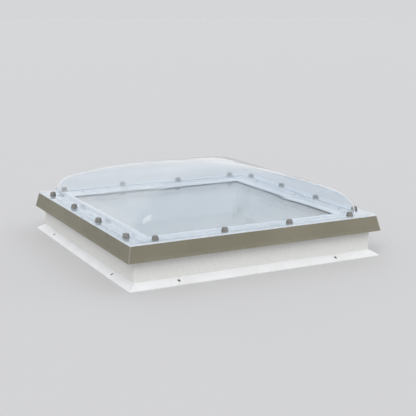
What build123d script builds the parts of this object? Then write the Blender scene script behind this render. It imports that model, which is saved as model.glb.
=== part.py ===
from build123d import *
import os
from math import atan2, cos, degrees, hypot, radians

# Fixed skylight for a flat roof: a white hollow frame with foam on its outer side, a glazed
# sash on the frame, and a clear blown dome screwed to a sloping skirt.
# Millimetres, +Z up. The origin is the middle of the frame's underside.
# Sections are drawn with x outwards from the edge of the clear opening and y upwards.

# Clear opening, edge to edge
opening = 1000

# Frame profile
frame_width = 100
frame_height = 145
frame_lean = 6
frame_wall = 3
frame_web = 2.2
frame_floor = 4
frame_roof = 6
foam_width = 38
slim_chamber = 12
upper_chamber_height = 30
upper_chamber_width = 20
lower_rows = 4

# Foot outside the foam, and the holes for its fixing screws
foot_width = 38
foot_rise = 28
foot_toe = 5
foot_wall = 3
foot_screw_hole = 3
foot_access_hole = 7
foot_screw_reach = 18
foot_screw_end = 100
foot_screws_per_side = 2

# Groove under the frame for a lining board
groove_lip = 3
groove_width = 13
groove_depth = 14

# Gaskets
gasket_height = 3
bulb_width = 8
bulb_taper = 1
bulb_wall = 1
glazing_strip_width = 9

# Sealed glazing unit
inner_pane_thickness = 6.8
cavity = 13.2
outer_pane_thickness = 4
spacer_width = 7
sealant_width = 6
pane_bevel = 0.6
block_width = 6
block_length = 80
block_end = 160

# Sash profile
sash_nose = 24
sash_shelf = 7
sash_wall = 3
sash_web = 2.2
sash_outer_gap = 4
nose_radius = 2.5

# Glazing bead
bead_height = 7
bead_overlap = 17
bead_heel = 16
bead_leg_width = 3.6
bead_leg_depth = 7
bead_wall = 2
bead_play = 0.2
bead_bevel = 4

# Skirt profile
leg_width = 24
leg_wall = 2.5
apron_height = 70
apron_splay = 16
apron_wall = 2.5
drip_width = 7
rib_width = 7
rib_drop = 34
tab_width = 16
tab_wall = 3
port_width = 12
port_depth = 10
skirt_crown_radius = 2
flange_overhang = 2

# Dome
flange_corner = 8
sheet = 4
dome_rise = 205
dome_haunch = 100
dome_root = 6
dome_seal_height = 3
dome_seal_width = 12
dome_seal_inset = 15

# Dome screws, four on each side, and the caps over their heads
screw_inset = 37
screw_end = 5
screws_per_side = 4
screw_radius = 2.75
screw_length = 18
screw_head_width = 10
screw_head_height = 4
screw_play = 0.15
dome_hole_radius = 3.5
cap_radius = 16
cap_top_radius = 12.5
cap_height = 17
cap_play = 0.25
cap_clearance = 1

# Corner keys in the skirt's leg
key_arm = 70
key_play = 0.25

# Levels
frame_top = frame_height
seat = frame_top + gasket_height
shelf_top = seat + sash_shelf
glass_low = shelf_top + gasket_height
cavity_low = glass_low + inner_pane_thickness
cavity_high = cavity_low + cavity
glass_high = cavity_high + outer_pane_thickness
bead_gasket_height = 2
sash_top = glass_high + bead_gasket_height
tab_top = sash_top + tab_wall
clear_under_dome = 12
flange_low = sash_top + clear_under_dome
flange_top = flange_low + sheet
skirt_top = flange_low - dome_seal_height

# Distances outwards from the edge of the clear opening
foam_face = frame_width - foam_width
foot_edge = frame_width + foot_width
leg_outer = frame_width
leg_inner = leg_outer - leg_width
screw_line = (leg_inner + leg_outer) / 2
flange_edge = screw_line + screw_inset
skirt_edge = flange_edge - flange_overhang
sash_edge = leg_inner - sash_outer_gap
tab_edge = leg_inner - tab_width
foot_screw_line = frame_width + foot_screw_reach
rebate = block_width
unit_half = opening / 2
flange_half = opening / 2 + flange_edge
dome_half = opening / 2 + screw_line - cap_radius - cap_clearance - dome_root

# Wide enough for a bar's whole length before its ends are mitred
reach = opening

screw_bore = screw_radius + screw_play

up = Vector(0, 0, 1)
sides = {
    "front": Vector(0, -1, 0),
    "right": Vector(1, 0, 0),
    "back": Vector(0, 1, 0),
    "left": Vector(-1, 0, 0),
}


def side_plane(outward):
    """Section plane of one side: x outwards from the opening's edge, y up."""
    return Plane(origin=outward * (opening / 2), x_dir=outward, z_dir=outward.cross(up))


def places(outward, distance, end, count):
    """Even places along one side, at a distance outwards from the opening's edge.

    The first and last stand at the end distance from the opening's corners.
    """
    along = outward.cross(up)
    line = outward * (opening / 2 + distance)
    run = opening - 2 * end
    return [line + along * (run * step / (count - 1) - run / 2) for step in range(count)]


def mitred_bar(section, outward):
    """One side's length of a section, cut along the square's diagonals."""
    with BuildPart() as bar:
        with BuildSketch(side_plane(outward)):
            add(section.sketch_local)
        extrude(amount=reach, both=True)
        with BuildSketch(Plane(origin=(0, 0, 0), x_dir=outward, z_dir=up)):
            Polygon((0, 0), (reach, -reach), (reach, reach))
        extrude(amount=flange_top, mode=Mode.INTERSECT)
    return bar.part


def closed_ring(section):
    """The section taken once round the square as one piece."""
    with BuildPart() as ring:
        for outward in sides.values():
            add(mitred_bar(section, outward))
    return ring.part


def pegs(points, radius, low, high):
    """Round pegs between two levels, taken away to leave holes."""
    with BuildPart() as bores:
        with BuildSketch(Plane.XY.offset(low)):
            with Locations(*points):
                Circle(radius)
        extrude(amount=high - low)
    return bores.part


def write(piece, name):
    piece.label = name
    export_step(piece, f"parts/{name}.step")


def lean_at(height):
    """How far the frame's inner face stands inside the opening at a height."""
    return -frame_lean * height / frame_height


def frame_chamber(near, far, low, high):
    """A chamber with upright sides."""
    Polygon((near, low), (far, low), (far, high), (near, high), mode=Mode.SUBTRACT)


def slim_chamber_beside_face(low, high):
    """The narrow chamber that follows the leaning inner face."""
    web = slim_chamber
    Polygon(
        (lean_at(low) + frame_wall, low),
        (web, low),
        (web, high),
        (lean_at(high) + frame_wall, high),
        mode=Mode.SUBTRACT,
    )


# Frame section
foot_run = foot_width - foot_wall
foot_drop = foot_rise - foot_toe
foot_skin = foot_wall * hypot(foot_run, foot_drop) / foot_run
chamber_low = groove_depth + frame_wall
chamber_high = frame_top - frame_wall
upper_low = chamber_high - upper_chamber_height
row_pitch = (upper_low - chamber_low) / lower_rows
inner_web = slim_chamber + frame_web
body_far = foam_face - frame_wall

with BuildSketch() as frame_section:
    with BuildLine():
        Polyline(
            (0, 0),
            (groove_lip, 0),
            (groove_lip, groove_depth),
            (groove_lip + groove_width, groove_depth),
            (groove_lip + groove_width, 0),
            (foot_edge, 0),
            (foot_edge, foot_toe),
            (frame_width + foot_wall, foot_rise),
            (frame_width, foot_rise),
            (frame_width, frame_floor),
            (foam_face, frame_floor),
            (foam_face, frame_top - frame_roof),
            (frame_width, frame_top - frame_roof),
            (frame_width, frame_top),
            (-frame_lean, frame_top),
            close=True,
        )
    make_face()
    fillet(frame_section.vertices().sort_by(Axis.Y)[-2:].sort_by(Axis.X)[0], radius=frame_wall / 2)
    Polygon(
        (frame_width + foot_wall, frame_floor),
        (foot_edge - (frame_floor + foot_skin - foot_toe) * foot_run / foot_drop, frame_floor),
        (frame_width + foot_wall, foot_rise - foot_skin),
        mode=Mode.SUBTRACT,
    )
    for row in range(lower_rows):
        low = chamber_low + row * row_pitch
        high = low + row_pitch - frame_web
        slim_chamber_beside_face(low, high)
        frame_chamber(inner_web, body_far, low, high)
    slim_chamber_beside_face(upper_low, chamber_high)
    frame_chamber(inner_web, inner_web + upper_chamber_width, upper_low, chamber_high)
    frame_chamber(inner_web + upper_chamber_width + frame_web, body_far, upper_low, chamber_high)

# Frame, with holes through the foot for its fixing screws
for side, outward in sides.items():
    foot_points = places(outward, foot_screw_line, foot_screw_end, foot_screws_per_side)
    with BuildPart() as frame_bar:
        add(mitred_bar(frame_section, outward))
        add(pegs(foot_points, foot_screw_hole, 0, foot_rise), mode=Mode.SUBTRACT)
        add(
            pegs(foot_points, foot_access_hole, frame_floor + foot_wall, foot_rise),
            mode=Mode.SUBTRACT,
        )
    write(frame_bar.part, f"frame_{side}")

# Foam bars in the frame's outer channel
with BuildSketch() as foam_section:
    Polygon(
        (foam_face, frame_floor),
        (frame_width, frame_floor),
        (frame_width, frame_top - frame_roof),
        (foam_face, frame_top - frame_roof),
    )
for side, outward in sides.items():
    write(mitred_bar(foam_section, outward), f"insulation_{side}")


def bulb_section(near, low):
    """A hollow gasket, wider at its base than at its top."""
    far = near + bulb_width
    high = low + gasket_height
    with BuildSketch() as bulb:
        Polygon((near, low), (far, low), (far - bulb_taper, high), (near + bulb_taper, high))
        frame_chamber(
            near + bulb_taper + bulb_wall,
            far - bulb_taper - bulb_wall,
            low + bulb_wall,
            high - bulb_wall,
        )
    return bulb


# Gaskets on the frame's top: inner and outer lines under the sash, one under the skirt
inner_line = lean_at(frame_top) + frame_wall
outer_line = body_far - bulb_width
write(closed_ring(bulb_section(inner_line, frame_top)), "sash_gasket_inner")
write(closed_ring(bulb_section(outer_line, frame_top)), "sash_gasket_outer")
write(closed_ring(bulb_section(screw_line - bulb_width / 2, frame_top)), "skirt_gasket")

# Sash section: a nose that carries the glass, a hollow body and a groove for the bead's leg
leg_near = bead_heel - bead_wall - bead_leg_width
leg_far = bead_heel - bead_wall
groove_floor = sash_top - bead_leg_depth - bead_play
body_low = seat + sash_wall
body_high = sash_top - sash_wall
body_middle = (body_low + body_high) / 2
mid_web = (leg_far + bead_play + sash_wall + sash_edge - sash_wall) / 2

with BuildSketch() as sash_section:
    with BuildLine():
        Polyline(
            (-sash_nose, seat),
            (sash_edge, seat),
            (sash_edge, sash_top),
            (leg_far + bead_play, sash_top),
            (leg_far + bead_play, groove_floor),
            (leg_near - bead_play, groove_floor),
            (leg_near - bead_play, sash_top),
            (rebate, sash_top),
            (rebate, shelf_top),
            (-sash_nose, shelf_top),
            close=True,
        )
    make_face()
    fillet(sash_section.vertices().group_by(Axis.X)[0], radius=nose_radius)
    for low, high in (
        (body_low, body_middle - sash_web / 2),
        (body_middle + sash_web / 2, body_high),
    ):
        frame_chamber(leg_far + bead_play + sash_wall, mid_web - sash_web / 2, low, high)
        frame_chamber(mid_web + sash_web / 2, sash_edge - sash_wall, low, high)
for side, outward in sides.items():
    write(mitred_bar(sash_section, outward), f"sash_{side}")


def strip_section(near, low, height):
    """A flat glazing strip with a slanted inner edge."""
    far = near + glazing_strip_width
    with BuildSketch() as strip:
        Polygon((near, low), (far, low), (far, low + height), (near + height, low + height))
    return strip


# Glazing strips under and over the unit
lower_strip_near = -sash_nose + nose_radius
upper_strip_near = -bead_overlap + bead_bevel
write(closed_ring(strip_section(lower_strip_near, shelf_top, gasket_height)), "glazing_gasket_lower")
write(closed_ring(strip_section(upper_strip_near, glass_high, bead_gasket_height)), "glazing_gasket_upper")


def pane(low, thickness):
    """A square pane with ground edges."""
    with BuildPart() as glass:
        with BuildSketch(Plane.XY.offset(low)):
            Rectangle(2 * unit_half, 2 * unit_half)
        extrude(amount=thickness)
        chamfer(glass.faces().filter_by(Axis.Z).edges(), length=pane_bevel)
    return glass.part


def square_band(outer_half, width, low, height):
    """A flat square ring."""
    with BuildPart() as band:
        with BuildSketch(Plane.XY.offset(low)):
            Rectangle(2 * outer_half, 2 * outer_half)
            Rectangle(2 * (outer_half - width), 2 * (outer_half - width), mode=Mode.SUBTRACT)
        extrude(amount=height)
    return band.part


# Sealed unit: laminated inner pane, outer pane, spacer and sealant between them
write(pane(glass_low, inner_pane_thickness), "inner_pane")
write(pane(cavity_high, outer_pane_thickness), "outer_pane")
write(square_band(unit_half, sealant_width, cavity_low, cavity), "edge_sealant")
write(square_band(unit_half - sealant_width, spacer_width, cavity_low, cavity), "pane_spacer")

# Setting blocks between the unit's edges and the sash
with BuildPart() as setting_blocks:
    for outward in sides.values():
        points = places(outward, block_width / 2, block_end, 2)
        with BuildSketch(Plane.XY.offset(shelf_top)):
            with Locations(*points):
                Rectangle(block_width, block_length, rotation=degrees(atan2(outward.Y, outward.X)))
        extrude(amount=glass_high - shelf_top)
write(setting_blocks.part, "setting_blocks")

# Glazing bead section: a bevelled hollow strip with a leg for the sash's groove
with BuildSketch() as bead_section:
    with BuildLine():
        Polyline(
            (-bead_overlap, sash_top),
            (leg_near, sash_top),
            (leg_near, sash_top - bead_leg_depth),
            (leg_far, sash_top - bead_leg_depth),
            (leg_far, sash_top),
            (bead_heel, sash_top),
            (bead_heel, sash_top + bead_height),
            (-bead_overlap + bead_bevel, sash_top + bead_height),
            (-bead_overlap, sash_top + bead_height - bead_bevel),
            close=True,
        )
    make_face()
    frame_chamber(
        -bead_overlap + bead_bevel,
        bead_heel - bead_wall,
        sash_top + bead_wall,
        sash_top + bead_height - bead_wall,
    )
for side, outward in sides.items():
    write(mitred_bar(bead_section, outward), f"glazing_bead_{side}")

# Skirt section: a hollow leg on the frame with a slot for the dome screws, a top shelf, a tab on
# the sash and a splayed apron
apron_low = skirt_top - apron_height
port_low = skirt_top - leg_wall - port_depth
port_web = port_low - leg_wall
splay_rate = apron_splay / apron_height
apron_skin = apron_wall * hypot(apron_splay, apron_height) / apron_height


def apron_at(height):
    """Distance of the apron's outer face at a height."""
    return skirt_edge + splay_rate * (skirt_top - height)


rib_level = skirt_top - rib_drop
with BuildSketch() as skirt_section:
    with BuildLine():
        Polyline(
            (leg_inner, seat),
            (leg_outer, seat),
            (leg_outer, skirt_top - leg_wall),
            (apron_at(skirt_top - leg_wall) - apron_skin, skirt_top - leg_wall),
            (apron_at(rib_level) - apron_skin, rib_level),
            (apron_at(rib_level) - apron_skin - rib_width, rib_level),
            (apron_at(rib_level) - apron_skin - rib_width, rib_level - apron_wall),
            (apron_at(rib_level - apron_wall) - apron_skin, rib_level - apron_wall),
            (apron_at(apron_low + apron_wall) - apron_skin, apron_low + apron_wall),
            (apron_at(apron_low) - apron_skin - drip_width, apron_low + apron_wall),
            (apron_at(apron_low) - apron_skin - drip_width, apron_low),
            (apron_at(apron_low), apron_low),
            (skirt_edge, skirt_top),
            (leg_inner, skirt_top),
            (leg_inner, tab_top),
            (tab_edge, tab_top),
            (tab_edge, sash_top),
            (leg_inner, sash_top),
            close=True,
        )
    make_face()
    crown = skirt_section.vertices().group_by(Axis.Y)[-1].sort_by(Axis.X)[-1]
    fillet(crown, radius=skirt_crown_radius)
    frame_chamber(leg_inner + leg_wall, leg_outer - leg_wall, seat + leg_wall, port_web)
    for near, far in (
        (leg_inner + leg_wall, screw_line - port_width / 2),
        (screw_line + port_width / 2, leg_outer - leg_wall),
    ):
        frame_chamber(near, far, port_low, skirt_top - leg_wall)
    frame_chamber(screw_line - screw_bore, screw_line + screw_bore, port_low, skirt_top)
for side, outward in sides.items():
    write(mitred_bar(skirt_section, outward), f"skirt_{side}")

# Corner keys: an L in the leg's lower chamber at each mitre
key_half = leg_width / 2 - leg_wall - key_play
key_line = opening / 2 + screw_line
with BuildPart() as corner_keys:
    with BuildSketch(Plane.XY.offset(seat + leg_wall + key_play)):
        Rectangle(2 * (key_line + key_half), 2 * (key_line + key_half))
        Rectangle(2 * (key_line - key_half), 2 * (key_line - key_half), mode=Mode.SUBTRACT)
        gap = 2 * (key_line - key_arm)
        Rectangle(gap, 2 * reach, mode=Mode.SUBTRACT)
        Rectangle(2 * reach, gap, mode=Mode.SUBTRACT)
    extrude(amount=port_web - seat - leg_wall - 2 * key_play)
write(corner_keys.part, "skirt_corner_keys")

# Foam seal between the skirt's top and the dome's flange
seal_half = flange_half - dome_seal_inset
write(square_band(seal_half, dome_seal_width, skirt_top, dome_seal_height), "dome_seal")


def vault(inset):
    """The space under the dome's outer face, or under a face set in from it.

    Two crossed three-centred arches on a square, with a quarter turn of the haunch at each corner.
    """
    half = dome_half - inset
    rise = dome_rise - inset
    haunch = dome_haunch - inset
    crown = (half**2 + rise**2 - 2 * half * haunch) / (2 * (rise - haunch))
    haunch_turn = degrees(atan2(crown - rise, half - haunch))
    corner = haunch * (1 - cos(radians(haunch_turn)))
    corner_axis = half - corner
    pivot = Vector(corner_axis, corner_axis, flange_top)

    with BuildPart() as quarter_turn:
        with BuildSketch(Plane(origin=pivot, x_dir=(1, 0, 0), z_dir=(0, -1, 0))):
            with BuildLine():
                arc = JernArc((corner, 0), (0, 1), haunch, haunch_turn)
                Polyline(arc @ 1, (0, -sheet), (corner, -sheet), (corner, 0))
            make_face()
        revolve(axis=Axis(pivot, up), revolution_arc=90)

    with BuildPart() as form:
        for across, mode in ((sides["right"], Mode.ADD), (sides["back"], Mode.INTERSECT)):
            arch_plane = Plane(origin=up * flange_top, x_dir=across, z_dir=across.cross(up))
            with BuildSketch(arch_plane):
                with BuildLine():
                    near = JernArc((half, 0), (0, 1), haunch, haunch_turn)
                    top = JernArc(near @ 1, near % 1, crown, 2 * (90 - haunch_turn))
                    JernArc(top @ 1, top % 1, haunch, haunch_turn)
                    Polyline((half, 0), (half, -sheet), (-half, -sheet), (-half, 0))
                make_face()
            extrude(amount=flange_half, both=True, mode=mode)
        with BuildSketch(Plane.XY.offset(flange_low)):
            Rectangle(2 * half, 2 * corner_axis)
            Rectangle(2 * corner_axis, 2 * half)
        extrude(amount=sheet + dome_rise, mode=Mode.INTERSECT)
        with PolarLocations(0, len(sides)):
            add(quarter_turn.part)
    return form.part


def root_edges(form, level):
    """The edges round the dome's foot at a level, inside the flange's own border."""
    border = dome_half + dome_root
    edges = form.edges().filter_by_position(Axis.Z, level, level)
    edges = edges.filter_by_position(Axis.X, -border, border)
    return edges.filter_by_position(Axis.Y, -border, border)


# Dome: one sheet, blown up from a flat flange, with an easy radius at its root on both faces
screw_points = []
for outward in sides.values():
    screw_points += places(outward, screw_line, screw_end, screws_per_side)
with BuildPart() as dome:
    with BuildSketch(Plane.XY.offset(flange_low)):
        RectangleRounded(2 * flange_half, 2 * flange_half, flange_corner)
    extrude(amount=sheet)
    add(vault(0))
    fillet(root_edges(dome, flange_top), radius=dome_root)
    add(vault(sheet), mode=Mode.SUBTRACT)
    fillet(root_edges(dome, flange_low), radius=dome_root + sheet)
    add(pegs(screw_points, dome_hole_radius, flange_low, flange_top), mode=Mode.SUBTRACT)
write(dome.part, "dome")

# Dome screws with hexagon heads
with BuildPart() as dome_screws:
    with BuildSketch(Plane.XY.offset(flange_top)):
        with Locations(*screw_points):
            RegularPolygon(screw_head_width / 2, 6, major_radius=False)
    extrude(amount=screw_head_height)
    with BuildSketch(Plane.XY.offset(flange_top)):
        with Locations(*screw_points):
            Circle(screw_radius)
    extrude(amount=-screw_length)
write(dome_screws.part, "dome_screws")

# One tapered cap, with a hexagon pocket that grips the screw's head
with BuildPart() as cap:
    with BuildSketch(Plane.XZ):
        Polygon((0, 0), (cap_radius, 0), (cap_top_radius, cap_height), (0, cap_height))
    revolve(axis=Axis.Z)
    with BuildSketch():
        RegularPolygon(screw_head_width / 2 + cap_play, 6, major_radius=False)
    extrude(amount=screw_head_height + cap_play, mode=Mode.SUBTRACT)

# Caps over all the dome screws
with BuildPart() as caps:
    with Locations(*[point + up * flange_top for point in screw_points]):
        add(cap.part)
write(caps.part, "screw_caps")
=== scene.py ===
import math
import bpy
import bmesh
from mathutils import Matrix, Vector


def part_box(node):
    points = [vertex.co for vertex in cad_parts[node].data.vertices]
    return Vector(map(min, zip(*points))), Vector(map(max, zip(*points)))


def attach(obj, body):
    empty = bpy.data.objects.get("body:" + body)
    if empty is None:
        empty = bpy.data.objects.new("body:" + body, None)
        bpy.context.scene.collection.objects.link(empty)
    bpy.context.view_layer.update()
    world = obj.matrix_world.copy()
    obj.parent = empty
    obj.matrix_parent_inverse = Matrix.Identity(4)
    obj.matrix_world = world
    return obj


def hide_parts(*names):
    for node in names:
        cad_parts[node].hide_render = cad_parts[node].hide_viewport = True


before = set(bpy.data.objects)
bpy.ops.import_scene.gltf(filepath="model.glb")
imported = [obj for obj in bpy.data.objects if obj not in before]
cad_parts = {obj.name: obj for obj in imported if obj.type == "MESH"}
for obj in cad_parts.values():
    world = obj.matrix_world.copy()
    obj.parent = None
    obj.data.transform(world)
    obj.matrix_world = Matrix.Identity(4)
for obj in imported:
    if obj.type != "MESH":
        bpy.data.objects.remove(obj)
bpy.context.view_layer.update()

# A square flat-roof skylight: white hollow frame and sash, grey-brown skirt, blown clear dome.
# Metres, +Z up. Levels and widths are read from the solids' boxes where a solid has them.

SIDES = ("front", "right", "back", "left")
QUARTER_TURN = math.tau / 4
TOUCHING = 1e-6

dome_low, dome_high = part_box("dome")
caps_low, caps_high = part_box("screw_caps")
skirt_low, skirt_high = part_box("skirt_front")
spacer_low, spacer_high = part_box("pane_spacer")
sash_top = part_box("sash_front")[1].z

# The dome's sheet is shown a little thin, so that its underside clears the seal's top face.
SHEET = 0.004
SHEET_SHOWN = 0.0037
FLANGE_HALF = dome_high.x
FLANGE_TOP = dome_low.z + SHEET
FLANGE_ROWS = (0.0, 0.012, 0.03, 0.045)
DOME_RISE = dome_high.z - FLANGE_TOP
DOME_HALF = 0.565
DOME_HAUNCH = 0.11
DOME_ROOT = 0.006
DOME_FACETS = 256
ROOT_STEPS = 5
HAUNCH_STEPS = 14
CROWN_STEPS = 30

# How square the dome is at each reach: a power of 2 is a circle, a high one a square.
CROWN_POWER = 2.0
WALL_POWER_GAIN = 28.0
FLANGE_POWER_GAIN = 150.0
CORNER_CROWDING = 0.85

DOME_HOLE_RADIUS = 0.0035
DRILL_LENGTH = 0.03
DRILL_FACETS = 20
RIM_DEPTH = 0.006
RIM_SLOPE = 0.5

CAP_RADIUS = 0.016
CAP_TOP_RADIUS = 0.0125
CAP_LIFT = 0.0001
CAP_HEIGHT = caps_high.z - caps_low.z - CAP_LIFT
CAP_EDGE = 0.0016
CAP_DISH = 0.0012
CAP_POCKET_RADIUS = 0.0064
CAP_POCKET_DEPTH = 0.0048
CAP_FACETS = 40
CAP_EDGE_STEPS = 5
CAP_LINE = caps_high.x - CAP_RADIUS
CAP_ENDS = 0.495
CAPS_PER_SIDE = 4
CAP_OFFSETS = [CAP_ENDS * (2 * place / (CAPS_PER_SIDE - 1) - 1) for place in range(CAPS_PER_SIDE)]

TAB_THICKNESS = 0.003
TAB_TOP = sash_top + TAB_THICKNESS
TAB_SCREW_LINE = 0.566
TAB_SCREW_OFFSETS = (-0.4, 0.0, 0.4)
HEAD_RADIUS = 0.0052
HEAD_HEIGHT = 0.0034
HEAD_FACETS = 24
HEAD_EDGE_STEPS = 5

# The skirt's white core shows on its flat top, inside this reach and from this level up.
CORE_REACH = 0.606
CORE_REACH_FADE = 0.0005
CORE_LEVEL = skirt_high.z - 0.0008
CORE_LEVEL_FADE = 0.0002

WHITE_MITRE_WIDTH = 0.0011
SKIRT_MITRE_WIDTH = 0.0008
# Width of the painted highlight along the skirt's corners.
SKIRT_CORNER_HIGHLIGHT = 0.0045
DUST_TOP = 0.09
SKIRT_DUST_DEPTH = 0.02
NOISE_SPREAD = (0.3, 0.7)

VENT_PITCH = 0.006

# A vent dot's edge, along the spacer and across it: where it starts to fade and where it ends.
VENT_ALONG = (0.0004, 0.0007)
VENT_ACROSS = (0.0005, 0.0009)

ACRYLIC_REFRACTION = 1.49
GLASS_REFRACTION = 1.52

FLOOR_GREY = (0.594, 0.588, 0.594)
FLOOR_CLOUD = 0.985
FLOOR_RADIUS = 80.0
FLOOR_DROP = 0.0005
BACKDROP = (0.66, 0.67, 0.685)
SKY_LIGHT = (0.95, 0.975, 1.0)
SKY_STRENGTH = 0.6
WALL_WHITE = (1.0, 1.0, 1.0)
CEILING_BLUE = (0.62, 0.74, 0.86)
CEILING_STRENGTH = 0.9
CEILING_FROM = 0.9
PANEL_EDGE = 0.22
PANEL_FADE = 0.1
PANEL_FROM = 0.1
PANEL_STRENGTH = 2.2

CAMERA_PLACE = Vector((-2.01, -4.02, 1.16))
CAMERA_AIM = Vector((0.045, -0.02, 0.17))
CAMERA_LENS = 80.0
CAMERA_SENSOR = 36.0
CAMERA_REACH = 200.0


class Wiring:
    """The nodes of one tree, made and joined by short calls."""

    def __init__(self, tree):
        self.nodes = tree.nodes
        self.links = tree.links

    def node(self, kind, **settings):
        made = self.nodes.new(kind)
        for name, value in settings.items():
            setattr(made, name, value)
        return made

    def feed(self, socket, term):
        """Gives a socket a number, a colour or another node's output."""
        if isinstance(term, tuple):
            socket.default_value = (*term, 1.0)
        elif isinstance(term, (int, float)):
            socket.default_value = term
        else:
            self.links.new(term, socket)

    def maths(self, operation, *terms):
        """One sum; each term is a number or another node's output."""
        step = self.node("ShaderNodeMath", operation=operation)
        for socket, term in zip(step.inputs, terms):
            self.feed(socket, term)
        return step.outputs["Value"]

    def between(self, factor, low, high, to_low=0.0, to_high=1.0, easing="LINEAR"):
        """A factor spread from one range on to another, held at its ends."""
        spread = self.node("ShaderNodeMapRange", interpolation_type=easing)
        ends = {"Value": factor, "From Min": low, "From Max": high, "To Min": to_low, "To Max": to_high}
        for name, term in ends.items():
            self.feed(spread.inputs[name], term)
        return spread.outputs["Result"]

    def split(self, vector):
        """The three coordinates of a vector."""
        parts = self.node("ShaderNodeSeparateXYZ")
        self.feed(parts.inputs["Vector"], vector)
        return parts.outputs["X"], parts.outputs["Y"], parts.outputs["Z"]

    def one_of(self, factor, first, second):
        """Two shaders mixed by a factor."""
        mix = self.node("ShaderNodeMixShader")
        for socket, term in zip(mix.inputs, (factor, first, second)):
            self.feed(socket, term)
        return mix.outputs["Shader"]


class Finish(Wiring):
    """A material whose colour, roughness and relief come from a few patterns.

    The colour and roughness it starts from are its plain ones, where no pattern is laid.
    """

    def __init__(self, name, colour, roughness, metallic=0.0):
        self.material = bpy.data.materials.new(name)
        self.material.use_nodes = True
        super().__init__(self.material.node_tree)
        self.shader = self.nodes["Principled BSDF"]
        self.shade("Base Color", colour)
        self.shade("Roughness", roughness)
        self.shade("Metallic", metallic)
        self.place = self.node("ShaderNodeTexCoord").outputs["Object"]
        self.relief = None

    def shade(self, socket, term):
        """Feeds one socket of the shader."""
        self.feed(self.shader.inputs[socket], term)

    def noise(self, scale, detail=3.0, stretch=None):
        """Cloudy noise, with a scale of its own on each axis where a stretch is given."""
        pattern = self.node("ShaderNodeTexNoise")
        self.feed(pattern.inputs["Scale"], scale)
        self.feed(pattern.inputs["Detail"], detail)
        place = self.place
        if stretch:
            mapping = self.node("ShaderNodeMapping")
            mapping.inputs["Scale"].default_value = stretch
            self.feed(mapping.inputs["Vector"], self.place)
            place = mapping.outputs["Vector"]
        self.feed(pattern.inputs["Vector"], place)
        return pattern.outputs["Fac"]

    def cells(self, scale):
        """Distance to the middle of each cell of a packed pattern."""
        pattern = self.node("ShaderNodeTexVoronoi", feature="F1")
        self.feed(pattern.inputs["Scale"], scale)
        self.feed(pattern.inputs["Vector"], self.place)
        return pattern.outputs["Distance"]

    def blend(self, factor, first, second):
        """Two colours mixed by a factor; each is a colour or another node's output."""
        mix = self.node("ShaderNodeMix", data_type="RGBA")
        for socket, term in zip((mix.inputs[0], *mix.inputs[6:8]), (factor, first, second)):
            self.feed(socket, term)
        return mix.outputs[2]

    def roughness_from(self, factor, low, high):
        """Roughness that drifts between two values with a pattern."""
        self.shade("Roughness", self.between(factor, *NOISE_SPREAD, low, high))

    def bump(self, factor, distance, strength=1.0):
        """Relief by a pattern, on top of any relief before it."""
        bump = self.node("ShaderNodeBump")
        for name, term in (("Height", factor), ("Distance", distance), ("Strength", strength)):
            self.feed(bump.inputs[name], term)
        if self.relief is not None:
            self.feed(bump.inputs["Normal"], self.relief)
        self.relief = bump.outputs["Normal"]
        self.shade("Normal", self.relief)

    def mitre_line(self, width):
        """1 on the diagonals of the square, where two lengths of profile meet, else 0."""
        x, y, _ = self.split(self.place)
        gap = self.maths("SUBTRACT", self.maths("ABSOLUTE", x), self.maths("ABSOLUTE", y))
        return self.between(self.maths("ABSOLUTE", gap), width * 0.5, width, 1.0, 0.0)

    def see_through(self, refraction, lamp_tint):
        """Clear, and lamp light passes it, so that what stands behind it is lit."""
        self.shade("Transmission Weight", 1.0)
        self.shade("IOR", refraction)
        through = self.node("ShaderNodeBsdfTransparent")
        self.feed(through.inputs["Color"], lamp_tint)
        in_shadow = self.node("ShaderNodeLightPath").outputs["Is Shadow Ray"]
        shown = self.one_of(in_shadow, self.shader.outputs["BSDF"], through.outputs["BSDF"])
        self.feed(self.nodes["Material Output"].inputs["Surface"], shown)


def white_profile():
    """Extruded white plastic: satin, with faint die lines along it and dust low down."""
    clean, dusty, joint = (0.86, 0.868, 0.89), (0.7, 0.695, 0.67), (0.42, 0.42, 0.42)
    f = Finish("white_profile", (0.85, 0.86, 0.88), 0.35)
    _, _, z = f.split(f.place)
    low_down = f.between(z, 0.0, DUST_TOP, 0.55, 0.0)
    dust = f.maths("MULTIPLY", low_down, f.between(f.noise(9.0, 6.0), 0.35, 0.75))
    cloud = f.between(f.noise(3.0, 4.0), 0.3, 0.7, 0.0, 0.12)
    mitre = f.mitre_line(WHITE_MITRE_WIDTH)
    tone = f.blend(f.maths("ADD", dust, cloud), clean, dusty)
    f.shade("Base Color", f.blend(mitre, tone, joint))
    f.roughness_from(f.noise(14.0, 5.0), 0.28, 0.44)
    f.bump(f.noise(1.0, 2.0, stretch=(3.0, 3.0, 700.0)), 0.00008, 0.5)
    f.bump(mitre, 0.0004, -0.8)
    return f.material


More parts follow.
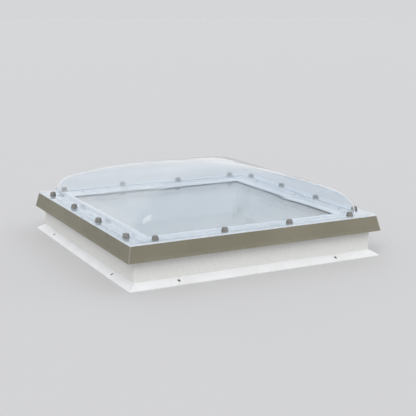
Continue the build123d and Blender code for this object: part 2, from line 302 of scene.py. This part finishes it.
def skirt_profile():
    """Grey-brown matt skin on the splayed face, white core on top under the dome's flange, and a painted
    highlight along its corners.
    """
    taupe, pale_taupe, dust = (0.182, 0.168, 0.121), (0.222, 0.206, 0.154), (0.32, 0.3, 0.235)
    white, corner_highlight, joint = (0.87, 0.88, 0.905), (0.36, 0.345, 0.3), (0.07, 0.065, 0.055)
    f = Finish("skirt_profile", (0.2, 0.186, 0.138), 0.55)
    x, y, z = f.split(f.place)
    tone = f.blend(f.between(f.noise(2.2, 6.0), 0.35, 0.65), taupe, pale_taupe)
    streak = f.noise(1.0, 3.0, stretch=(26.0, 26.0, 3.0))
    tone = f.blend(f.between(streak, 0.52, 0.8, 0.0, 0.35), tone, pale_taupe)
    low_down = f.between(z, skirt_low.z, skirt_low.z + SKIRT_DUST_DEPTH, 0.45, 0.0)
    dusty = f.maths("MULTIPLY", low_down, f.between(f.noise(30.0, 6.0), 0.3, 0.7))
    tone = f.blend(dusty, tone, dust)
    # A lighter band along each corner of the skirt: a painted highlight on the corner edge.
    tone = f.blend(f.mitre_line(SKIRT_CORNER_HIGHLIGHT), tone, corner_highlight)
    mitre = f.mitre_line(SKIRT_MITRE_WIDTH)
    tone = f.blend(mitre, tone, joint)
    reach = f.maths("MAXIMUM", f.maths("ABSOLUTE", x), f.maths("ABSOLUTE", y))
    on_top = f.between(z, CORE_LEVEL, CORE_LEVEL + CORE_LEVEL_FADE)
    inside = f.between(reach, CORE_REACH + CORE_REACH_FADE, CORE_REACH)
    f.shade("Base Color", f.blend(f.maths("MAXIMUM", on_top, inside), tone, white))
    f.roughness_from(f.noise(60.0, 4.0), 0.46, 0.64)
    f.bump(f.noise(900.0, 2.0), 0.00006, 0.8)
    f.bump(f.noise(1.0, 3.0, stretch=(5.0, 5.0, 420.0)), 0.00005, 0.5)
    f.bump(mitre, 0.0005, -0.9)
    return f.material


def bead_foam():
    """White insulation of fused foam beads, painted darker in the grooves between them for their shade.
    """
    bead, groove_shade, aged = (0.88, 0.88, 0.86), (0.66, 0.66, 0.63), (0.78, 0.77, 0.72)
    f = Finish("bead_foam", (0.86, 0.86, 0.84), 0.85)
    beads = f.cells(230.0)
    # Darker between the beads: painted shade in the grooves.
    tone = f.blend(f.between(beads, 0.0, 0.7, 0.0, 0.5), bead, groove_shade)
    f.shade("Base Color", f.blend(f.between(f.noise(5.0, 4.0), 0.4, 0.75, 0.0, 0.3), tone, aged))
    f.roughness_from(f.noise(200.0), 0.78, 0.92)
    f.bump(beads, 0.0009, -0.9)
    return f.material


def black_rubber():
    """Extruded gasket rubber with a grey bloom."""
    black, bloom = (0.022, 0.022, 0.024), (0.075, 0.075, 0.073)
    f = Finish("black_rubber", (0.03, 0.03, 0.032), 0.6)
    f.shade("Base Color", f.blend(f.between(f.noise(25.0, 5.0), 0.4, 0.8), black, bloom))
    f.roughness_from(f.noise(80.0), 0.5, 0.75)
    f.bump(f.noise(700.0), 0.00008, 0.6)
    return f.material


def seal_foam():
    """Pale closed-cell sealing strip, with painted shade in its pores."""
    wall, pore_shade = (0.76, 0.765, 0.77), (0.58, 0.585, 0.59)
    f = Finish("seal_foam", (0.7, 0.7, 0.71), 0.8)
    cells = f.cells(900.0)
    # Darker in each cell: painted shade in the pores.
    f.shade("Base Color", f.blend(f.between(cells, 0.0, 0.8), wall, pore_shade))
    f.bump(cells, 0.0003, -0.6)
    return f.material


def cap_plastic():
    """Grey moulded plastic with a fine spark-eroded grain."""
    dark, pale = (0.205, 0.2, 0.19), (0.27, 0.262, 0.247)
    f = Finish("cap_plastic", (0.23, 0.225, 0.213), 0.48)
    f.shade("Base Color", f.blend(f.between(f.noise(40.0, 6.0), 0.35, 0.7), dark, pale))
    f.roughness_from(f.noise(300.0, 4.0), 0.38, 0.58)
    f.bump(f.noise(1500.0, 2.0), 0.00005, 0.8)
    return f.material


def clear_acrylic():
    """Blown acrylic sheet: clear and glossy, with a slow waviness and a film of dust."""
    clean, filmed = (0.92, 0.953, 0.983), (0.888, 0.928, 0.964)
    f = Finish("clear_acrylic", (0.9, 0.935, 0.96), 0.02)
    f.shade("Base Color", f.blend(f.between(f.noise(6.0, 6.0), 0.4, 0.8), clean, filmed))
    f.roughness_from(f.noise(11.0, 6.0), 0.0, 0.05)
    f.bump(f.noise(5.0, 2.0), 0.0025, 0.25)
    f.see_through(ACRYLIC_REFRACTION, lamp_tint=(0.965, 0.975, 0.985))
    return f.material


def sawn_edge_and_glow():
    """The acrylic's sawn edge: matt and pale. The paleness is partly the frosted cut and partly painted
    light, for the glow the sheet gathers at its edge.
    """
    pale, dull = (0.78, 0.84, 0.88), (0.68, 0.76, 0.82)
    f = Finish("sawn_edge_and_glow", (0.74, 0.81, 0.86), 0.45)
    # Pale: partly the frosted cut, partly a painted glow of light at the edge.
    f.shade("Base Color", f.blend(f.between(f.noise(120.0, 4.0), 0.3, 0.7), pale, dull))
    f.roughness_from(f.noise(400.0), 0.35, 0.55)
    f.bump(f.noise(1.0, 2.0, stretch=(900.0, 900.0, 120.0)), 0.00004, 0.6)
    return f.material


def pane_glass():
    """Float glass with a faint green cast."""
    clear, greener = (0.98, 0.99, 0.988), (0.97, 0.984, 0.98)
    f = Finish("pane_glass", (0.94, 0.975, 0.965), 0.0)
    f.shade("Base Color", f.blend(f.between(f.noise(2.0, 3.0), 0.3, 0.7), clear, greener))
    f.roughness_from(f.noise(7.0, 5.0), 0.0, 0.012)
    f.see_through(GLASS_REFRACTION, lamp_tint=(0.972, 0.98, 0.978))
    return f.material


def spacer_metal():
    """Mill-finish spacer with a row of fine vent dots, painted dark for the shade inside the vent holes.
    """
    mill, vent = (0.6, 0.61, 0.62), (0.12, 0.12, 0.12)
    f = Finish("spacer_metal", mill, 0.35, metallic=1.0)
    x, y, z = f.split(f.place)
    along = f.maths("PINGPONG", f.maths("ADD", x, y), VENT_PITCH / 2)
    above = f.maths("ABSOLUTE", f.maths("SUBTRACT", z, (spacer_low.z + spacer_high.z) / 2))
    rows = f.between(along, *VENT_ALONG, 1.0, 0.0)
    line = f.between(above, *VENT_ACROSS, 1.0, 0.0)
    # The vent holes are not cut: dots painted dark stand for the shade inside them.
    f.shade("Base Color", f.blend(f.maths("MULTIPLY", rows, line), mill, vent))
    f.roughness_from(f.noise(1.0, 3.0, stretch=(8.0, 8.0, 900.0)), 0.25, 0.5)
    return f.material


def key_metal():
    """Cast aluminium with a dull skin."""
    bright, dull = (0.62, 0.62, 0.62), (0.46, 0.46, 0.46)
    f = Finish("key_metal", (0.55, 0.55, 0.55), 0.5, metallic=1.0)
    f.shade("Base Color", f.blend(f.noise(60.0, 5.0), bright, dull))
    f.roughness_from(f.noise(120.0, 4.0), 0.4, 0.62)
    f.bump(f.noise(500.0), 0.00008, 0.6)
    return f.material


def screw_steel():
    """Stainless screw heads with turned marks."""
    bright, dull = (0.64, 0.64, 0.63), (0.48, 0.48, 0.47)
    f = Finish("screw_steel", (0.58, 0.58, 0.57), 0.32, metallic=1.0)
    f.shade("Base Color", f.blend(f.noise(400.0, 3.0), bright, dull))
    f.roughness_from(f.noise(900.0, 2.0), 0.24, 0.42)
    f.bump(f.noise(1.0, 2.0, stretch=(1200.0, 1200.0, 200.0)), 0.00003, 0.6)
    return f.material


def block_plastic():
    """Grey-green moulded setting blocks."""
    dark, pale = (0.27, 0.35, 0.28), (0.36, 0.43, 0.36)
    f = Finish("block_plastic", (0.3, 0.38, 0.3), 0.5)
    f.shade("Base Color", f.blend(f.noise(50.0, 4.0), dark, pale))
    f.roughness_from(f.noise(150.0), 0.42, 0.6)
    f.bump(f.noise(900.0), 0.00006, 0.6)
    return f.material


def dress(material, *nodes):
    """A finish on CAD nodes that keep their shape."""
    for node in nodes:
        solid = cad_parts[node]
        solid.data.materials.clear()
        solid.data.materials.append(material)


def on_each_side(stem):
    return [f"{stem}_{side}" for side in SIDES]


def mesh_of(name, shape):
    """A mesh from a bmesh, which is used up."""
    mesh = bpy.data.meshes.new(name)
    shape.to_mesh(mesh)
    shape.free()
    return mesh


def in_scene(name, data):
    """A new object at the origin."""
    item = bpy.data.objects.new(name, data)
    bpy.context.scene.collection.objects.link(item)
    return item


def add_piece(name, shape, material, crease):
    """Makes a bmesh an object of the part, smooth but for its creases."""
    bmesh.ops.recalc_face_normals(shape, faces=shape.faces)
    mesh = mesh_of(name, shape)
    mesh.shade_smooth()
    mesh.set_sharp_from_angle(angle=math.radians(crease))
    mesh.materials.append(material)
    piece = in_scene(name, mesh)
    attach(piece, "root")
    return piece


def arc(centre, radius, start, end, steps):
    """Points of an arc in the XZ plane, its angles in degrees from +X."""
    for step in range(steps + 1):
        turn = math.radians(start + (end - start) * step / steps)
        yield centre[0] + radius * math.cos(turn), centre[1] + radius * math.sin(turn)


def turned(outline, facets):
    """An outline in the XZ plane, spun right round Z."""
    shape = bmesh.new()
    verts = [shape.verts.new((x, 0.0, z)) for x, z in outline]
    edges = [shape.edges.new(pair) for pair in zip(verts, verts[1:])]
    bmesh.ops.spin(
        shape, geom=verts + edges, cent=(0, 0, 0), axis=(0, 0, 1), dvec=(0, 0, 0),
        angle=math.tau, steps=facets, use_merge=True, use_normal_flip=False, use_duplicate=False,
    )
    bmesh.ops.remove_doubles(shape, verts=shape.verts, dist=TOUCHING)
    return shape


def along_sides(offsets, line, level):
    """Turn and shift to each fixing on the four sides.

    The line is the fixings' distance from the middle, and the level their height.
    """
    for quarter in range(len(SIDES)):
        turn = Matrix.Rotation(quarter * QUARTER_TURN, 4, "Z")
        for offset in offsets:
            yield turn @ Matrix.Translation((offset, line, level))


def turned_copies(outline, facets, places):
    """One turned shape at each place, all in one bmesh."""
    copies = bmesh.new()
    for place in places:
        one = turned(outline, facets)
        bmesh.ops.transform(one, matrix=place, verts=one.verts)
        copy = mesh_of("copy", one)
        copies.from_mesh(copy)
        bpy.data.meshes.remove(copy)
    return copies


def cap_places():
    """Each cap's place, which is its screw hole's too."""
    return along_sides(CAP_OFFSETS, CAP_LINE, caps_low.z + CAP_LIFT)


def squared(vert):
    """Pushes a turned point out from its circle to the rounded square of the dome at that reach.

    The turned lines are drawn towards the four corners first, where the square bends.
    """
    reach = math.hypot(vert.co.x, vert.co.y)
    if reach < TOUCHING:
        return
    on_dome = min(reach / DOME_HALF, 1.0)
    foot = DOME_HALF + DOME_ROOT
    on_flange = max(0.0, (reach - foot) / (FLANGE_HALF - foot))
    power = CROWN_POWER + WALL_POWER_GAIN * on_dome**2 + FLANGE_POWER_GAIN * on_flange
    turn = math.atan2(vert.co.y, vert.co.x)
    turn += CORNER_CROWDING / 4 * math.sin(4 * turn)
    along, across = math.cos(turn), math.sin(turn)
    longest = max(abs(along), abs(across))
    bend = abs(along / longest) ** power + abs(across / longest) ** power
    pushed = reach / (longest * bend ** (1 / power))
    vert.co.x, vert.co.y = pushed * along, pushed * across


def drilled(sheet, places):
    """The sheet with a round screw hole through it at each place."""
    drills = bmesh.new()
    for place in places:
        bmesh.ops.create_cone(
            drills, cap_ends=True, segments=DRILL_FACETS, radius1=DOME_HOLE_RADIUS,
            radius2=DOME_HOLE_RADIUS, depth=DRILL_LENGTH, matrix=place,
        )
    blank = in_scene("blank", mesh_of("blank", sheet))
    drill = in_scene("drill", mesh_of("drill", drills))
    cut = blank.modifiers.new("cut", "BOOLEAN")
    cut.object = drill
    cut.operation = "DIFFERENCE"
    cut.solver = "EXACT"
    worked = blank.evaluated_get(bpy.context.evaluated_depsgraph_get())
    cut_mesh = bpy.data.meshes.new_from_object(worked)
    shape = bmesh.new()
    shape.from_mesh(cut_mesh)
    # Removing a mesh takes its object with it
    for spent in (cut_mesh, blank.data, drill.data):
        bpy.data.meshes.remove(spent)
    return shape


def saw_edge(piece, material):
    """A finish of its own for the narrow faces round the flange."""
    piece.data.materials.append(material)
    for face in piece.data.polygons:
        reach = max(abs(face.center.x), abs(face.center.y))
        if reach > FLANGE_HALF - RIM_DEPTH and abs(face.normal.z) < RIM_SLOPE:
            face.material_index = 1


def dome_outline():
    """From the flange's edge inwards: a tight root, a round haunch and a low crown."""
    crown = (DOME_HALF**2 + DOME_RISE**2 - 2 * DOME_HALF * DOME_HAUNCH) / (2 * (DOME_RISE - DOME_HAUNCH))
    meeting = math.degrees(math.atan2(crown - DOME_RISE, DOME_HALF - DOME_HAUNCH))
    root_top = FLANGE_TOP + DOME_ROOT
    yield from ((FLANGE_HALF - row, FLANGE_TOP) for row in FLANGE_ROWS)
    yield from arc((DOME_HALF + DOME_ROOT, root_top), DOME_ROOT, 270, 180, ROOT_STEPS)
    haunch = arc((DOME_HALF - DOME_HAUNCH, FLANGE_TOP), DOME_HAUNCH, 0, meeting, HAUNCH_STEPS)
    yield from (point for point in haunch if point[1] > root_top)
    top = arc((0.0, FLANGE_TOP + DOME_RISE - crown), crown, meeting, 90, CROWN_STEPS)
    yield from list(top)[1:]


def blown_dome(material, edge_material):
    """The clear sheet, spun, squared, given its wall and drilled."""
    shape = turned(dome_outline(), DOME_FACETS)
    for vert in shape.verts:
        squared(vert)
    bmesh.ops.recalc_face_normals(shape, faces=shape.faces)
    if max(shape.faces, key=lambda face: face.calc_center_median().z).normal.z < 0:
        bmesh.ops.reverse_faces(shape, faces=shape.faces)
    bmesh.ops.solidify(shape, geom=shape.faces[:], thickness=SHEET_SHOWN)
    piece = add_piece("blown_dome", drilled(shape, cap_places()), material, crease=50.0)
    saw_edge(piece, edge_material)
    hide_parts("dome")


def tapered_caps(material):
    """Caps with a rounded top edge, a shallow dish and a thin foot ring.

    The dish's slope is in edge radii from the rim and shares of its depth, and the foot
    ring in insets and heights.
    """
    top, wide, edge = CAP_HEIGHT, CAP_TOP_RADIUS, CAP_EDGE
    dish_slope = ((4.0, 1.0), (3.2, 0.2), (2.6, 0.0))
    foot_ring = ((0.0008, 0.0022), (0.0001, 0.0018), (0.0, 0.0012), (0.0, 0.0))
    outline = [(0.0, top - CAP_DISH)]
    outline += [(wide - edges_in * edge, top - share * CAP_DISH) for edges_in, share in dish_slope]
    outline += arc((wide - edge, top - edge), edge, 90, 12, CAP_EDGE_STEPS)
    outline += [(CAP_RADIUS - inset, height) for inset, height in foot_ring]
    outline += [(CAP_POCKET_RADIUS, 0.0), (CAP_POCKET_RADIUS, CAP_POCKET_DEPTH), (0.0, CAP_POCKET_DEPTH)]
    caps = turned_copies(outline, CAP_FACETS, cap_places())
    piece = add_piece("tapered_caps", caps, material, crease=35.0)
    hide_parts("screw_caps")


def tab_screw_heads(material):
    """Pan heads on the skirt's tab, which hold skirt and sash to the frame.

    The recess is in radii and shares of the head's height.
    """
    rounding = 0.7 * HEAD_HEIGHT
    recess = ((0.0, 0.55), (0.0012, 0.6), (0.0016, 0.98))
    outline = [(radius, share * HEAD_HEIGHT) for radius, share in recess]
    outline += arc((HEAD_RADIUS - rounding, HEAD_HEIGHT - rounding), rounding, 78, 0, HEAD_EDGE_STEPS)
    outline += [(HEAD_RADIUS, 0.0), (0.0, 0.0)]
    places = along_sides(TAB_SCREW_OFFSETS, TAB_SCREW_LINE, TAB_TOP)
    heads = turned_copies(outline, HEAD_FACETS, places)
    add_piece("tab_screw_heads", heads, material, crease=35.0)


def studio_floor():
    """Plain pale floor under the part."""
    f = Finish("floor_paint", FLOOR_GREY, 0.9)
    clouded = tuple(FLOOR_CLOUD * channel for channel in FLOOR_GREY)
    f.shade("Base Color", f.blend(f.noise(0.8, 3.0), clouded, FLOOR_GREY))
    shape = bmesh.new()
    bmesh.ops.create_circle(shape, cap_ends=True, radius=FLOOR_RADIUS, segments=64)
    floor = in_scene("studio_floor", mesh_of("studio_floor", shape))
    floor.data.materials.append(f.material)
    floor.location.z = -FLOOR_DROP


def studio_sky():
    """Even soft light, which is seen as the plain backdrop.

    In gloss it is a bright wall, and a bluer ceiling with a light panel.
    """
    world = bpy.data.worlds.new("studio_sky")
    bpy.context.scene.world = world
    world.use_nodes = True
    w = Wiring(world.node_tree)

    def glow(colour, strength):
        made = w.node("ShaderNodeBackground")
        w.feed(made.inputs["Color"], colour)
        w.feed(made.inputs["Strength"], strength)
        return made.outputs["Background"]

    x, y, up = w.split(w.node("ShaderNodeTexCoord").outputs["Generated"])
    off_middle = w.maths("MAXIMUM", w.maths("ABSOLUTE", x), w.maths("ABSOLUTE", y))
    in_panel = w.between(off_middle, PANEL_EDGE + PANEL_FADE, PANEL_EDGE, easing="SMOOTHSTEP")
    overhead = w.between(up, 0.0, PANEL_FROM, easing="SMOOTHSTEP")
    ceiling = w.between(up, 0.0, CEILING_FROM, easing="SMOOTHSTEP")
    gloss = w.one_of(ceiling, glow(WALL_WHITE, 1.0), glow(CEILING_BLUE, CEILING_STRENGTH))
    gloss = w.one_of(w.maths("MULTIPLY", in_panel, overhead), gloss, glow(WALL_WHITE, PANEL_STRENGTH))
    backdrop = glow(BACKDROP, 1.0)
    path = w.node("ShaderNodeLightPath")
    shown = w.one_of(path.outputs["Is Camera Ray"], glow(SKY_LIGHT, SKY_STRENGTH), backdrop)
    shown = w.one_of(path.outputs["Is Transmission Ray"], shown, backdrop)
    shown = w.one_of(path.outputs["Is Glossy Ray"], shown, gloss)
    w.feed(w.nodes["World Output"].inputs["Surface"], shown)


def aimed(item, direction):
    """Turns a lamp or camera to look in a direction."""
    item.rotation_mode = "QUATERNION"
    item.rotation_quaternion = direction.to_track_quat("-Z", "Y")


def soft_lamp(name, heading, height, spread, strength, colour):
    """A far lamp with a broad face, by compass heading and height in degrees."""
    light = bpy.data.lights.new(name, "SUN")
    light.angle = math.radians(spread)
    light.energy = strength
    light.color = colour
    turn, lift = math.radians(heading), math.radians(height)
    place = Vector((math.sin(turn) * math.cos(lift), -math.cos(turn) * math.cos(lift), math.sin(lift)))
    lamp = in_scene(name, light)
    lamp.visible_glossy = False
    lamp.visible_transmission = False
    aimed(lamp, -place)


def photo_camera():
    """The photograph's angle and distance, with a longer lens so that the part fills the frame."""
    data = bpy.data.cameras.new("camera")
    data.lens = CAMERA_LENS
    data.sensor_width = CAMERA_SENSOR
    data.clip_end = CAMERA_REACH
    camera = in_scene("camera", data)
    camera.location = CAMERA_PLACE
    aimed(camera, CAMERA_AIM - CAMERA_PLACE)
    bpy.context.scene.camera = camera


photo_camera()
bpy.context.scene.view_settings.view_transform = "Standard"

white = white_profile()
rubber = black_rubber()
steel = screw_steel()
grey_cap = cap_plastic()
acrylic = clear_acrylic()

dress(white, *on_each_side("frame"), *on_each_side("sash"), *on_each_side("glazing_bead"))
dress(skirt_profile(), *on_each_side("skirt"))
dress(bead_foam(), *on_each_side("insulation"))
dress(rubber, "sash_gasket_inner", "sash_gasket_outer", "skirt_gasket", "edge_sealant")
dress(rubber, "glazing_gasket_lower", "glazing_gasket_upper")
dress(seal_foam(), "dome_seal")
dress(pane_glass(), "inner_pane", "outer_pane")
dress(spacer_metal(), "pane_spacer")
dress(key_metal(), "skirt_corner_keys")
dress(steel, "dome_screws")
dress(block_plastic(), "setting_blocks")
dress(grey_cap, "screw_caps")
dress(acrylic, "dome")

blown_dome(acrylic, sawn_edge_and_glow())
tapered_caps(grey_cap)
tab_screw_heads(steel)

studio_floor()
studio_sky()
soft_lamp("key_lamp", heading=-36.0, height=48.0, spread=50.0, strength=1.6, colour=(1.0, 0.985, 0.96))
soft_lamp("fill_lamp", heading=75.0, height=35.0, spread=60.0, strength=0.45, colour=(0.95, 0.98, 1.0))
soft_lamp("back_lamp", heading=170.0, height=40.0, spread=60.0, strength=0.4, colour=(0.96, 0.98, 1.0))
